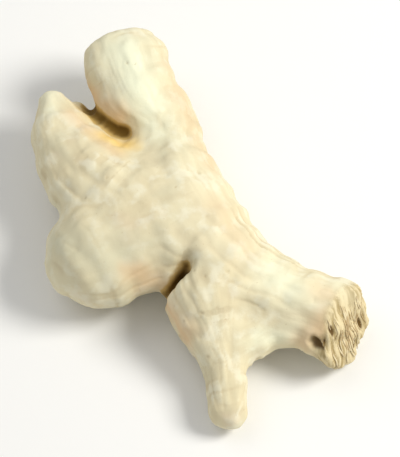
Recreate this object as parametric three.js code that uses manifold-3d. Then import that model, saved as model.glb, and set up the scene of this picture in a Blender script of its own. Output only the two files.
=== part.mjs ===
/**
 * A whole dried ginger root: one branched rhizome with a blunt upper knob, a pointed side knob,
 * a broad round knob, a slender finger and the neck where it was snapped off its parent root. Low
 * webs of flesh join the two upper knobs, and the finger and the neck.
 *
 * Millimetres, +Z up. The root lies on the plane z = 0, on small flats at its low points, and
 * the origin is the centre of its bounding box on that plane.
 *
 * Each knob is a swollen tube round a smooth axis, described by the distance to its skin. The
 * distances run together in soft shoulders, carry the leaf-scar rings and the furrows of drying,
 * and are cut by a crease and by the snapped face. Marching cubes finds the skin.
 */

import * as THREE from 'three';
import { ImprovedNoise } from 'three/addons/math/ImprovedNoise.js';
import { MarchingCubes } from 'three/addons/objects/MarchingCubes.js';
import { mergeVertices } from 'three/addons/utils/BufferGeometryUtils.js';
import Module from 'manifold-3d';

// Driving dimensions, in millimetres. The rest cut is what the flats take off the low points.
const REST_CUT = 0.4;
const RING_WANDER = 1.7;
const RING_WAVELENGTH = 11;
const RING_FADE_LENGTH = 8;
const FURROW_DEPTH = 0.45;
const FURROW_LENGTH = 13;
const LUMP_HEIGHT = 0.75;
const LUMP_LENGTH = 9;
const BLUNT_EDGE = 3;
const BOX_CENTRE = new THREE.Vector3(1.5, -4.6, 0);

// Shares: a furrow's width of its wave, a ring's width of its pitch, and a ring's depth of the
// knob's radius, from least to most.
const FURROW_SHARE = 0.14;
const RING_WIDTH_SHARE = 0.23;
const RING_DEPTH_SHARES = [0, 0.12];

// The grid that the skin is sought on: a power of two cells to a side, so cell corners are exact.
const GRID_CELLS = 128;
const GRID_SPAN = 144;
const GRID_CENTRE = new THREE.Vector3(0, -8, 0);
const REACH = new THREE.Box3(new THREE.Vector3(-32, -44, -4), new THREE.Vector3(36, 34, 26));
const MAX_TRIANGLES = 40000;
const CORNER_CLEARANCE = 0.1;
const CUT_CLEARANCE = 0.12;
const WELD_TOLERANCE = 1e-4;

// How finely a knob's axis is sampled, how far from the skin its relief is worked out, in
// millimetres, and how the faces are evened out.
const STEPS_PER_STATION = 6;
const RELIEF_REACH = 4;
const RELAX_ROUNDS = 4;
const RELAX_SHARE = 0.6;
const SLOPE_STEP = 0.15;
const LEAST_SLOPE = 0.25;
const PROJECTION_TURNS = 2;

// A knob's stations are [x, y, z, radius], from where it grows to its tip.
const KNOBS = [
  // The neck, trunk and upper knob.
  {
    stations: [
      [28, -25, 7.5, 6.9],
      [22, -21, 7, 6.9],
      [15, -17.7, 7.2, 6.7],
      [7, -13.5, 7.8, 7.8],
      [-1, -3.6, 8.3, 9.6],
      [-4.1, 7.8, 7.7, 7.5],
      [-4.3, 13, 9, 6.2],
      [-7.7, 17, 10.3, 7],
      [-10.1, 22.9, 11.3, 7.2],
    ],
    flatten: 0.88,
    ringPitch: 4.9,
    shoulder: 1,
    furrows: 7,
    blunt: 5.7,
  },
  // The pointed side knob.
  {
    stations: [
      [-7, -3, 8.6, 8.6],
      [-15.5, 3.6, 8.8, 7.6],
      [-19.8, 10.8, 9.6, 5.2],
      [-21.6, 16.4, 10.2, 2.7],
    ],
    flatten: 0.85,
    ringPitch: 4.2,
    shoulder: 2.5,
    furrows: 6,
  },
  // The broad round knob.
  {
    stations: [
      [-4, -5, 8.4, 8.8],
      [-13.4, -9.6, 8, 9.4],
    ],
    flatten: 0.84,
    ringPitch: 4.6,
    shoulder: 3.5,
    furrows: 8,
  },
  // The slender finger.
  {
    stations: [
      [2.7, -17.3, 7.3, 7.3],
      [4.6, -24.6, 6, 4.7],
      [5.6, -28.6, 4.9, 3.6],
      [6, -34.8, 4.1, 3.5],
    ],
    flatten: 0.94,
    ringPitch: 3.4,
    shoulder: 2,
    furrows: 5,
  },
  // The low web of flesh between the upper knob and the pointed knob.
  {
    stations: [
      [-10.5, 6.4, 7, 6],
      [-13.2, 9.8, 6.8, 4.8],
      [-15.6, 13, 7, 3.8],
      [-18, 15.8, 7.6, 2.6],
    ],
    flatten: 0.75,
    ringPitch: 4,
    shoulder: 1,
    furrows: 4,
  },
  // The flesh in the corner between the finger and the neck.
  {
    stations: [
      [8.6, -23, 5.8, 4.6],
      [11.4, -21.4, 6.1, 4.7],
      [14.6, -19.8, 6.4, 5],
    ],
    flatten: 0.85,
    ringPitch: 4.2,
    shoulder: 2,
    furrows: 5,
  },
];

// The crease between the broad knob and the trunk: a cleft that narrows downwards, under a line
// of [x, y] points.
const CREASE = {
  line: [
    [-7.4, -20.6],
    [-4.6, -18],
    [-2.2, -16],
    [-0.4, -14.2],
  ],
  floor: 5,
  halfWidth: 0.5,
  opening: 0.09,
  edge: 0.6,
};

// The rough face where the neck was snapped off the parent root.
const SNAP = {
  point: new THREE.Vector3(24.6, -22.3, 8),
  facing: new THREE.Vector3(0.84, -0.4, 0.36).normalize(),
  roughness: 1.3,
  grain: 3.2,
  edge: 0.7,
};

const noise = new ImprovedNoise();
const offset = new THREE.Vector3();
const run = new THREE.Vector3();
const side = new THREE.Vector3();
const probe = new THREE.Vector3();
const slope = new THREE.Vector3();

/** Smooth noise of the given wavelength, from about -1 to 1. */
function noiseAt(point, wavelength) {
  return noise.noise(point.x / wavelength, point.y / wavelength, point.z / wavelength);
}

/** Blends two distances so that their surfaces meet in a shoulder of the given width. */
function smoothUnion(a, b, width) {
  const overlap = Math.max(width - Math.abs(a - b), 0) / width;
  return Math.min(a, b) - (overlap * overlap * width) / 4;
}

/** Keeps what lies inside both, with the edge softened over the given width. */
function smoothCut(a, b, width) {
  return -smoothUnion(-a, -b, width);
}

/** Samples a knob's axis into short straight lengths, each with its centre and radius. */
function knobAxis(knob) {
  const steps = STEPS_PER_STATION * (knob.stations.length - 1);
  const centreLine = new THREE.CatmullRomCurve3(
    knob.stations.map(([x, y, z]) => new THREE.Vector3(x, y, z)),
  );
  const radiusLine = new THREE.SplineCurve(
    knob.stations.map(([, , , radius], i) => new THREE.Vector2(i, radius)),
  );
  const points = [];
  let along = 0;
  for (let i = 0; i <= steps; i++) {
    const centre = centreLine.getPoint(i / steps);
    if (i) along += centre.distanceTo(points[i - 1].centre);
    points.push({ centre, along, radius: radiusLine.getPoint(i / steps).y });
  }
  return points;
}

for (const knob of KNOBS) knob.axis = knobAxis(knob);

/** Distance to the blunt end of a knob, past which nothing of it is left. */
function bluntEnd(knob, point) {
  const tip = knob.axis.at(-1);
  const before = knob.axis.at(-2);
  run.subVectors(tip.centre, before.centre).normalize();
  return offset.subVectors(point, tip.centre).dot(run) - knob.blunt;
}

/** Distance to the crease's walls and floor: negative inside the cleft. */
function creaseDistance(point) {
  let across = Infinity;
  for (let i = 1; i < CREASE.line.length; i++) {
    const [fromX, fromY] = CREASE.line[i - 1];
    const [toX, toY] = CREASE.line[i];
    const runX = toX - fromX;
    const runY = toY - fromY;
    const share = ((point.x - fromX) * runX + (point.y - fromY) * runY) / (runX ** 2 + runY ** 2);
    const held = THREE.MathUtils.clamp(share, 0, 1);
    const gap = Math.hypot(point.x - fromX - held * runX, point.y - fromY - held * runY);
    across = Math.min(across, gap);
  }
  const height = point.z - CREASE.floor;
  return Math.max(across - CREASE.halfWidth - CREASE.opening * height, -height);
}

/** Distance to the snapped face, whose fibres stand out as small teeth. */
function snapDistance(point) {
  const flat = offset.subVectors(point, SNAP.point).dot(SNAP.facing);
  return flat + SNAP.roughness * noiseAt(point, SNAP.grain);
}

/** Finds the place on a knob's axis nearest to a point: distance to its skin, radius, length, angle. */
function nearestOnAxis(knob, point) {
  const best = { distance: Infinity };
  for (let i = 1; i < knob.axis.length; i++) {
    const from = knob.axis[i - 1];
    const to = knob.axis[i];
    run.subVectors(to.centre, from.centre);
    offset.subVectors(point, from.centre);
    const share = offset.dot(run) / run.lengthSq();
    const held = THREE.MathUtils.clamp(share, 0, 1);
    offset.addScaledVector(run, -held);
    const flat = Math.hypot(offset.x, offset.y, offset.z / knob.flatten);
    const radius = THREE.MathUtils.lerp(from.radius, to.radius, held);
    if (flat - radius < best.distance) {
      best.distance = flat - radius;
      best.radius = radius;
      // Past the tip the length runs on, so the rings close in circles round it.
      const reach = i === knob.axis.length - 1 ? Math.max(share, 0) : held;
      best.along = THREE.MathUtils.lerp(from.along, to.along, reach);
      side.set(-run.y, run.x, 0).normalize();
      best.angle = Math.atan2(offset.z / knob.flatten, offset.dot(side));
    }
  }
  return best;
}

/** The height of the skin over a plain knob: grooves at the leaf scars, furrows along it. */
function knobRelief(knob, at, point) {
  const phase = (at.along + RING_WANDER * noiseAt(point, RING_WAVELENGTH)) / knob.ringPitch;
  const fromRing = Math.abs(phase - Math.round(phase)) * knob.ringPitch;
  const fade = (1 + noiseAt(point, RING_FADE_LENGTH)) / 2;
  const depth = THREE.MathUtils.lerp(...RING_DEPTH_SHARES, fade) * at.radius;
  const groove = depth * Math.exp(-((fromRing / (RING_WIDTH_SHARE * knob.ringPitch)) ** 2));
  const around = knob.furrows / Math.PI;
  const fold = noise.noise(
    around * Math.cos(at.angle),
    around * Math.sin(at.angle),
    at.along / FURROW_LENGTH + knob.furrows,
  );
  const furrow = Math.exp(-((fold / FURROW_SHARE) ** 2));
  return -groove - FURROW_DEPTH * furrow;
}

/** Signed distance to the skin of the root: negative inside. */
function skinDistance(point) {
  let distance = Infinity;
  for (const knob of KNOBS) {
    const at = nearestOnAxis(knob, point);
    const relief = at.distance < RELIEF_REACH ? knobRelief(knob, at, point) : 0;
    const plain = at.distance - relief;
    const own = knob.blunt ? smoothCut(plain, bluntEnd(knob, point), BLUNT_EDGE) : plain;
    distance = distance === Infinity ? own : smoothUnion(distance, own, knob.shoulder);
  }
  distance -= LUMP_HEIGHT * noiseAt(point, LUMP_LENGTH);
  distance = smoothCut(distance, -creaseDistance(point), CREASE.edge);
  return smoothCut(distance, snapDistance(point), SNAP.edge);
}

/** Runs marching cubes over the distance and returns the welded skin, in millimetres. */
function findSkin() {
  const surface = new MarchingCubes(GRID_CELLS, new THREE.Material(), false, false, MAX_TRIANGLES);
  const cell = GRID_SPAN / GRID_CELLS;
  const point = new THREE.Vector3();
  surface.isolation = 0;
  for (let k = 0; k < GRID_CELLS; k++) {
    for (let j = 0; j < GRID_CELLS; j++) {
      for (let i = 0; i < GRID_CELLS; i++) {
        point.set(i, j, k).subScalar(GRID_CELLS / 2).multiplyScalar(cell).add(GRID_CENTRE);
        const inside = REACH.containsPoint(point) ? -skinDistance(point) : -cell;
        // A corner very near the skin is moved off it, which leaves no sliver faces.
        const depth = Math.max(Math.abs(inside), CORNER_CLEARANCE * cell);
        surface.field[i + GRID_CELLS * (j + GRID_CELLS * k)] = inside < 0 ? -depth : depth;
      }
    }
  }
  surface.update();
  const corners = surface.geometry.drawRange.count;
  const soup = new THREE.BufferGeometry();
  const positions = surface.positionArray.slice(0, corners * 3);
  soup.setAttribute('position', new THREE.BufferAttribute(positions, 3));
  soup.scale(GRID_SPAN / 2, GRID_SPAN / 2, GRID_SPAN / 2);
  soup.translate(GRID_CENTRE.x, GRID_CENTRE.y, GRID_CENTRE.z);
  return mergeVertices(soup, WELD_TOLERANCE);
}

/** Evens out the faces: each vertex moves towards its neighbours' middle, then back to the skin. */
function relaxOnSkin(geometry) {
  const position = geometry.attributes.position;
  const index = geometry.index.array;
  const vertices = Array.from({ length: position.count }, (_, i) =>
    new THREE.Vector3().fromBufferAttribute(position, i));
  const neighbours = vertices.map(() => new Set());
  for (let i = 0; i < index.length; i += 3) {
    for (let e = 0; e < 3; e++) {
      neighbours[index[i + e]].add(index[i + ((e + 1) % 3)]);
      neighbours[index[i + ((e + 1) % 3)]].add(index[i + e]);
    }
  }
  for (let round = 0; round < RELAX_ROUNDS; round++) {
    const means = vertices.map((vertex, i) => {
      const mean = new THREE.Vector3();
      for (const n of neighbours[i]) mean.add(vertices[n]);
      return mean.divideScalar(neighbours[i].size);
    });
    vertices.forEach((vertex, i) => projectToSkin(vertex.lerp(means[i], RELAX_SHARE)));
  }
  vertices.forEach((vertex, i) => position.setXYZ(i, vertex.x, vertex.y, vertex.z));
}

/** Moves a point down the slope of the distance until it lies on the skin. */
function projectToSkin(point) {
  for (let turn = 0; turn < PROJECTION_TURNS; turn++) {
    const here = skinDistance(point);
    for (const axis of ['x', 'y', 'z']) {
      probe.copy(point);
      probe[axis] += SLOPE_STEP;
      slope[axis] = (skinDistance(probe) - here) / SLOPE_STEP;
    }
    point.addScaledVector(slope, -here / Math.max(slope.lengthSq(), LEAST_SLOPE));
  }
}

/** Moves the vertices that lie very near a level off it, so that a cut there leaves no slivers. */
function clearLevel(geometry, level) {
  const position = geometry.attributes.position;
  for (let i = 0; i < position.count; i++) {
    const height = position.getZ(i) - level;
    const clear = Math.max(Math.abs(height), CUT_CLEARANCE);
    position.setZ(i, level + (height < 0 ? -clear : clear));
  }
}

const wasm = await Module();
wasm.setup();

/** Turns a welded geometry into a solid that can be cut. */
function toSolid(geometry) {
  return new wasm.Manifold(
    new wasm.Mesh({
      numProp: 3,
      vertProperties: new Float32Array(geometry.attributes.position.array),
      triVerts: new Uint32Array(geometry.index.array),
    }),
  );
}

/** Turns a solid back into a geometry. */
function toGeometry(solid) {
  const mesh = solid.getMesh();
  const geometry = new THREE.BufferGeometry();
  geometry.setAttribute('position', new THREE.BufferAttribute(mesh.vertProperties, 3));
  geometry.setIndex(new THREE.BufferAttribute(mesh.triVerts, 1));
  return geometry;
}

const skin = findSkin();
relaxOnSkin(skin);
skin.computeBoundingBox();
const groundLevel = skin.boundingBox.min.z + REST_CUT;
clearLevel(skin, groundLevel);

// The ground that the root lies on: a block whose top face cuts the flats.
const ground = new THREE.BoxGeometry(GRID_SPAN, GRID_SPAN, GRID_SPAN);
ground.translate(0, 0, groundLevel - GRID_SPAN / 2);
ground.deleteAttribute('normal');
ground.deleteAttribute('uv');

const root = toGeometry(toSolid(skin).subtract(toSolid(mergeVertices(ground))));
root.computeBoundingBox();
root.translate(-BOX_CENTRE.x, -BOX_CENTRE.y, -root.boundingBox.min.z);
root.computeVertexNormals();

const driedSkin = new THREE.MeshStandardMaterial({ color: 0xeadfba, roughness: 0.9, metalness: 0 });
const rhizome = new THREE.Mesh(root, driedSkin);
rhizome.name = 'ginger_rhizome';

const ginger = new THREE.Group();
ginger.add(rhizome);

export default ginger;
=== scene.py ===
"""A whole dried ginger root, dressed for a plain studio picture.

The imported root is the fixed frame. Its skin is a finer mesh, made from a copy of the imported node,
with the wrinkles of drying, the leaf-scar lines, the root scars and the torn neck worked into it.
Strands of fibre lie on the torn neck. Lengths in the classes are in millimetres. The knobs are
placed by the same stations as in the part's source, and ROW_SHIFT takes them to the row frame.
"""

import logging
import math
from collections.abc import Callable
from dataclasses import dataclass
from enum import Enum

import bmesh
import bpy
import numpy as np
from bmesh.types import BMesh
from bpy.types import Material, Mesh, Node, NodeSocket, NodeTree, Object
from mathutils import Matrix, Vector
from mathutils.bvhtree import BVHTree


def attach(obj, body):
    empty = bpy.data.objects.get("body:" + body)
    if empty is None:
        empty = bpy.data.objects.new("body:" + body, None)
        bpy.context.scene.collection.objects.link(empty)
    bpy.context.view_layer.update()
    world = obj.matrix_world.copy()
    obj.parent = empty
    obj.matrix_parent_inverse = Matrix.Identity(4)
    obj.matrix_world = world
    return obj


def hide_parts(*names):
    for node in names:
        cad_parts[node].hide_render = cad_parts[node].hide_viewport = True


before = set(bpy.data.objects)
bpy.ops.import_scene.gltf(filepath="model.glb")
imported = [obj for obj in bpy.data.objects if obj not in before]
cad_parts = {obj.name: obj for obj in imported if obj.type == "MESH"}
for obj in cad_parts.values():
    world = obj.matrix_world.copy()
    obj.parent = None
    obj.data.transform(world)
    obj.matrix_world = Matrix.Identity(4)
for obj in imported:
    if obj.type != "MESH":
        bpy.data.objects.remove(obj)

LOG = logging.getLogger("ginger")

NODE = "ginger_rhizome"
BODY = "root"
MM = 0.001
ROW_SHIFT = (-1.5, 4.6, -0.46)
PHOTO_SIZE = (400, 457)

Points = np.ndarray
Values = np.ndarray
Colour = tuple[float, float, float]
Spot = tuple[float, float, float]
Span = tuple[float, float]
Station = tuple[float, float, float, float]
Given = NodeSocket | float | Colour


class Mask(Enum):
    """The named values that a mesh carries for its finish."""

    HOLLOW = "hollow"
    CLEFT = "cleft"
    CREASE_AND_SHADE = "crease_and_shade"
    TORN = "torn"
    SCAR_AND_SHADE = "scar_and_shade"
    CHALK_AND_LIGHT = "chalk_and_light"
    BLUSH_AND_SHADE = "blush"
    AMBER = "amber"
    DUST_AND_SHADE = "dust_and_shade"
    STRAND = "strand"
    GRAIN = "grain"


def in_row(spots: list[Spot] | tuple[Spot, ...]) -> Points:
    """Takes points, as the part's source places them, to the row frame."""
    return np.array(spots, float) + np.array(ROW_SHIFT)


def smooth_step(low: float, high: float, values: Values) -> Values:
    """Eases values from 0 at low to 1 at high."""
    share = np.clip((values - low) / (high - low), 0, 1)
    return share * share * (3 - 2 * share)


def bell(values: Values, width: float) -> Values:
    """Gives 1 where values are 0, falling to about a third at a width from there."""
    return np.exp(-((values / width) ** 2))


def line_gap(points: Points, line: Points) -> Values:
    """Measures how far points are from a line of straight lengths.

    Args:
        points: The points.
        line: The line's corners.

    Returns:
        The distance of each point.
    """
    gap = np.full(len(points), np.inf)
    for start, end in zip(line, line[1:]):
        run = end - start
        share = np.clip((points - start) @ run / (run @ run), 0, 1)
        gap = np.minimum(gap, np.linalg.norm(points - start - share[:, None] * run, axis=1))
    return gap


class GradientNoise:
    """Smooth seeded noise, worked out for many points at once."""

    TABLE_SIZE = 256
    GAIN = 1.6

    def __init__(self, seed: int) -> None:
        """Draws the noise's own table of directions.

        Args:
            seed: The number that settles the pattern.
        """
        draws = np.random.default_rng(seed)
        self.order = draws.permutation(self.TABLE_SIZE)
        directions = draws.normal(size=(self.TABLE_SIZE, 3))
        self.directions = directions / np.linalg.norm(directions, axis=1)[:, None]

    def __call__(self, points: Points) -> Values:
        """Gives the noise at each point.

        Args:
            points: An array of points, one wavelength to a unit.

        Returns:
            A value from about -1 to 1 for each point.
        """
        cell = np.floor(points).astype(int)
        inside = points - cell
        fade = inside * inside * (3 - 2 * inside)
        total = np.zeros(len(points))
        for corner in np.ndindex(2, 2, 2):
            step = np.array(corner)
            index = (cell + step) % self.TABLE_SIZE
            pick = self.order[index[:, 0]]
            pick = self.order[(pick + index[:, 1]) % self.TABLE_SIZE]
            pick = self.order[(pick + index[:, 2]) % self.TABLE_SIZE]
            share = np.prod(np.where(step, fade, 1 - fade), axis=1)
            total += share * np.einsum("ij,ij->i", self.directions[pick], inside - step)
        return total * self.GAIN


@dataclass(frozen=True)
class Ripple:
    """Noise of one seed, height and wavelength."""

    seed: int
    height: float
    length: float

    def at(self, points: Points, offset: float = 0.0) -> Values:
        """Gives its height at each point, in the pattern moved by an offset."""
        return self.height * GradientNoise(self.seed)(points / self.length + offset)


@dataclass(frozen=True)
class Knob:
    """One swollen length of the root, round a smooth axis. A station is (x, y, z, radius)."""

    stations: tuple[Station, ...]
    flatten: float
    line_pitch: float
    steps: int = 8

    def axis(self) -> tuple[Points, Values]:
        """Samples the smooth curve through the stations.

        Returns:
            The points of the axis in the row frame, and the knob's radius at each.
        """
        known = np.array(self.stations)
        padded = np.vstack([2 * known[0] - known[1], known, 2 * known[-1] - known[-2]])
        rows = []
        for i in range(len(known) - 1):
            before, start, end, after = padded[i : i + 4]
            for t in np.arange(self.steps) / self.steps:
                bend = 2 * before - 5 * start + 4 * end - after
                swing = 3 * start - before - 3 * end + after
                rows.append(start + 0.5 * ((end - before) * t + bend * t**2 + swing * t**3))
        rows.append(known[-1])
        sampled = np.array(rows)
        return in_row(sampled[:, :3]), sampled[:, 3]

    def nearest(self, points: Points) -> tuple[Values, Values, Values, Values]:
        """Finds where each point lies on the knob.

        Args:
            points: Points in the row frame.

        Returns:
            The distance to the plain knob's skin, the length along the axis, the angle round it
            and the share of the knob's radius that the point is from the axis, for each point.
        """
        centres, radii = self.axis()
        runs = np.diff(centres, axis=0)
        lengths = np.linalg.norm(runs, axis=1)
        starts = np.concatenate([[0], np.cumsum(lengths)])
        best = np.full(len(points), np.inf)
        along = np.zeros(len(points))
        angle = np.zeros(len(points))
        aside = np.zeros(len(points))
        last = len(runs) - 1
        for i, run in enumerate(runs):
            offset = points - centres[i]
            share = offset @ run / (run @ run)
            held = np.clip(share, 0, 1)
            offset = offset - held[:, None] * run
            squashed = offset / np.array([1, 1, self.flatten])
            radius = radii[i] + held * (radii[i + 1] - radii[i])
            gap = np.linalg.norm(squashed, axis=1) - radius
            nearer = gap < best
            side = np.array([-run[1], run[0], 0]) / math.hypot(run[0], run[1])
            reach = np.maximum(share, 0) if i == last else held
            level = offset - (reach - held)[:, None] * run
            aside = np.where(nearer, np.linalg.norm(level, axis=1) / radius, aside)
            best = np.where(nearer, gap, best)
            along = np.where(nearer, starts[i] + reach * lengths[i], along)
            angle = np.where(nearer, np.arctan2(squashed[:, 2], offset @ side), angle)
        return best, along, angle, aside


TRUNK = Knob(
    stations=(
        (28, -25, 7.5, 6.9), (22, -21, 7, 6.9), (15, -17.7, 7.2, 6.7), (7, -13.5, 7.8, 7.8),
        (-1, -3.6, 8.3, 9.6), (-4.1, 7.8, 7.7, 7.5), (-4.3, 13, 9, 6.2), (-7.7, 17, 10.3, 7),
        (-10.1, 22.9, 11.3, 7.2),
    ),
    flatten=0.88,
    line_pitch=3.3,
)
POINTED_KNOB = Knob(
    stations=(
        (-7, -3, 8.6, 8.6), (-15.5, 3.6, 8.8, 7.6), (-19.8, 10.8, 9.6, 5.2),
        (-21.6, 16.4, 10.2, 2.7),
    ),
    flatten=0.85,
    line_pitch=2.7,
)
BROAD_KNOB = Knob(
    stations=((-4, -5, 8.4, 8.8), (-13.4, -9.6, 8, 9.4)),
    flatten=0.84,
    line_pitch=3.1,
)
SLENDER_FINGER = Knob(
    stations=(
        (2.7, -17.3, 7.3, 7.3), (4.6, -24.6, 6, 4.7), (5.6, -28.6, 4.9, 3.6),
        (6, -34.8, 4.1, 3.5),
    ),
    flatten=0.94,
    line_pitch=2.3,
)
WEB = Knob(
    stations=(
        (-10.5, 6.4, 7, 6), (-13.2, 9.8, 6.8, 4.8), (-15.6, 13, 7, 3.8), (-18, 15.8, 7.6, 2.6),
    ),
    flatten=0.75,
    line_pitch=2.9,
)
CORNER = Knob(
    stations=((8.6, -23, 5.8, 4.6), (11.4, -21.4, 6.1, 4.7), (14.6, -19.8, 6.4, 5)),
    flatten=0.85,
    line_pitch=3.0,
)
KNOBS = (TRUNK, POINTED_KNOB, BROAD_KNOB, SLENDER_FINGER, WEB, CORNER)
BROAD = KNOBS.index(BROAD_KNOB)


@dataclass(frozen=True)
class Coordinates:
    """Where the skin's points lie: in space, and on the knobs that they belong to."""

    SHOULDER = 0.5

    points: Points
    normals: Points
    weights: Values
    along: Values
    angle: Values
    aside: Values

    @classmethod
    def of(cls, points: Points, normals: Points, knobs: tuple[Knob, ...]) -> "Coordinates":
        """Places each point on each knob.

        Args:
            points: Points on the skin.
            normals: The skin's direction at each.
            knobs: The knobs of the root.

        Returns:
            The coordinates, with a weight for each point and knob that falls off in the
            shoulders between them.
        """
        found = [knob.nearest(points) for knob in knobs]
        gaps = np.array([f[0] for f in found]).T
        weights = np.exp(-(gaps - gaps.min(axis=1)[:, None]) / cls.SHOULDER)
        weights = weights / weights.sum(axis=1)[:, None]
        placed = [np.array(values).T for values in list(zip(*found))[1:]]
        return cls(points, normals, weights, *placed)

    def on_knobs(self, effect: Callable[[int], Values]) -> Values:
        """Adds up an effect's values for the knob of each number, by the knobs' weights."""
        return sum(self.weights[:, k] * effect(k) for k in range(len(KNOBS)))


@dataclass(frozen=True)
class TornNeck:
    """The rough face where the neck was snapped off the parent root.

    The tongue is where the tear runs on down the neck's near side, past a deep pit. A pit is
    (x, y, z, radius). One of pit_radius is pit_depth deep, and the others are in proportion.
    """

    point: Spot = (24.6, -22.3, 8)
    facing: Spot = (0.84, -0.4, 0.36)
    depth: float = 1.9
    strand_width: float = 1.0
    strand_length: float = 9.0
    strand_height: float = 0.3
    strand_lean: float = 0.35
    strand_seed: int = 22
    bend: Ripple = Ripple(seed=16, height=0.5, length=2.5)
    ragged: Ripple = Ripple(seed=11, height=1.0, length=1.6)
    rim_shake: float = 0.7
    tongue_shake: float = 0.8
    facing_range: Span = (0.2, 0.5)
    tongue: tuple[Spot, ...] = ((19.4, -26.4, 9.4), (20.5, -27.6, 7.2), (22.4, -28, 4.6))
    tongue_width: float = 1.7
    pits: tuple[Station, ...] = (
        (22.4, -25.0, 10.7, 0.7),
        (26.6, -20.3, 4.8, 0.7),
        (25.8, -23.4, 4.1, 0.6),
        (24.3, -23.0, 7.9, 0.4),
        (19.4, -26.2, 9.7, 1.0),
    )
    pit_depth: float = 0.95
    pit_radius: float = 0.7
    pit_reach: float = 3.0
    pit_wall: float = 0.85
    pit_shade: Span = (0.15, 0.7)
    gap_shade: float = 0.2
    gap_range: Span = (0.1, -0.6)
    strand_range: Span = (0.1, 0.9)

    def directions(self) -> tuple[Points, Points, Points]:
        """Works out how the torn face lies.

        Returns:
            The unit directions out of the face, across its strands and along them.
        """
        normal = np.array(self.facing) / np.linalg.norm(self.facing)
        across = np.cross(normal, (0, 0, 1))
        across /= np.linalg.norm(across)
        along = np.cross(normal, across) + self.strand_lean * across
        along /= np.linalg.norm(along)
        return normal, np.cross(along, normal), along

    def mask(self, where: Coordinates) -> Values:
        """Finds how much each point belongs to the torn face, whose rim is uneven.

        Args:
            where: The skin's coordinates.

        Returns:
            1 on the face, 0 away from it.
        """
        ragged = self.ragged.at(where.points)
        normal = self.directions()[0]
        height = (where.points - in_row([self.point])[0]) @ normal + self.rim_shake * ragged
        face = smooth_step(-self.depth, -0.5 * self.depth, height)
        face *= smooth_step(*self.facing_range, where.normals @ normal)
        gap = line_gap(where.points, in_row(self.tongue)) + self.tongue_shake * ragged
        return np.maximum(face, smooth_step(self.tongue_width, 0.5 * self.tongue_width, gap))

    def relief(self, where: Coordinates) -> tuple[Values, Values, Values]:
        """Makes the torn strands and the pits between them.

        Args:
            where: The skin's coordinates.

        Returns:
            The height at each point, a mask that is 1 in the pits and one that is 1 on the strands.
        """
        normal, across, along = self.directions()
        flat = where.points - in_row([self.point])[0]
        spots = np.stack([flat @ across, flat @ along, flat @ normal], axis=1)
        spots /= np.array([self.strand_width, self.strand_length, self.strand_length])
        spots[:, 0] += self.bend.at(where.points)
        ridges = 1 - 2 * np.abs(GradientNoise(self.strand_seed)(spots))
        height = self.strand_height * (ridges - 0.5)
        hollow = self.gap_shade * smooth_step(*self.gap_range, ridges)
        for x, y, z, radius in self.pits:
            apart = where.points - in_row([(x, y, z)])[0]
            gap = np.hypot(apart @ across, 0.5 * (apart @ along)) / radius
            dip = bell(gap, self.pit_wall) * (np.abs(apart @ normal) < self.pit_reach)
            height -= self.pit_depth * radius / self.pit_radius * dip
            hollow = np.maximum(hollow, smooth_step(*self.pit_shade, dip))
        return height, hollow, smooth_step(*self.strand_range, ridges)


@dataclass(frozen=True)
class Cleft:
    """A cleft between two knobs, where the skin is drawn in or out and darkened by stain and painted
    shade.
    """

    line: tuple[Spot, ...]
    width: float
    depth: float
    stain_and_shade_width: float
    stain_and_shade: float


# The darkening along the notch and the slit is painted shade under the knobs' overhang, and some brown
# stain.
NOTCH = Cleft(
    line=(
        (-15.8, 16.8, 8.6), (-14.6, 14, 10.8), (-12.7, 11.9, 11.3), (-11.4, 10.9, 11.1),
        (-10.2, 10.4, 11.5),
    ),
    width=1.25,
    depth=0.5,
    stain_and_shade_width=1.5,
    stain_and_shade=1.05,
)
SLIT = Cleft(
    line=(
        (-5.2, -18.6, 5), (-3.6, -16.4, 6.6), (-2.3, -15, 8.2), (-1.1, -13.8, 9.2),
        (-0.2, -13.2, 11),
    ),
    width=1.4,
    depth=-0.3,
    stain_and_shade_width=1.4,
    stain_and_shade=0.9,
)


@dataclass(frozen=True)
class Stroke:
    """A soft stroke of colour along a line on the skin."""

    mask: Mask
    line: tuple[Spot, ...]
    width: float
    share: float


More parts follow.
